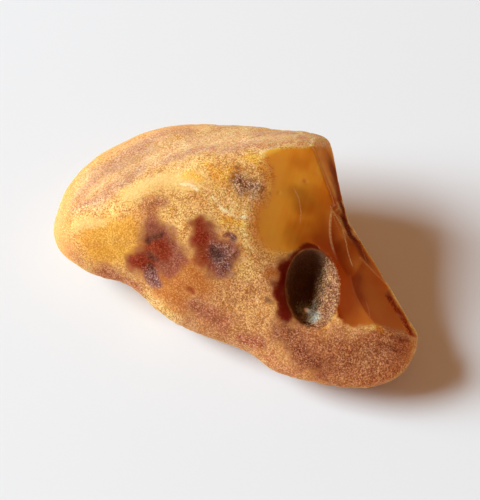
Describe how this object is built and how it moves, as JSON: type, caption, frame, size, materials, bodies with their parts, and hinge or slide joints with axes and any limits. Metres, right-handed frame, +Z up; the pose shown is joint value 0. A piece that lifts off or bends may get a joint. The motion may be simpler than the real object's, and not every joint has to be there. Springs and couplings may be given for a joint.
{
  "type": "raw amber piece",
  "caption": "Raw lump of honey-coloured cloudy amber with a granular crust, smooth fracture windows, dark red patches and a deep dark pit.",
  "frame": {"origin": "centre of the bounding box's bottom face, on the surface that the lump rests on", "axes": "+X along the lump's length from the blunt tail to the toe, +Z up from its resting flat"},
  "size_m": [0.0833, 0.0525, 0.0314],
  "materials": {
    "amber": "semi-gloss, cloudy and translucent, with a granular matt crust over most of it"
  },
  "bodies": {
    "root": {"amber_lump": "amber"}
  },
  "joints": []
}
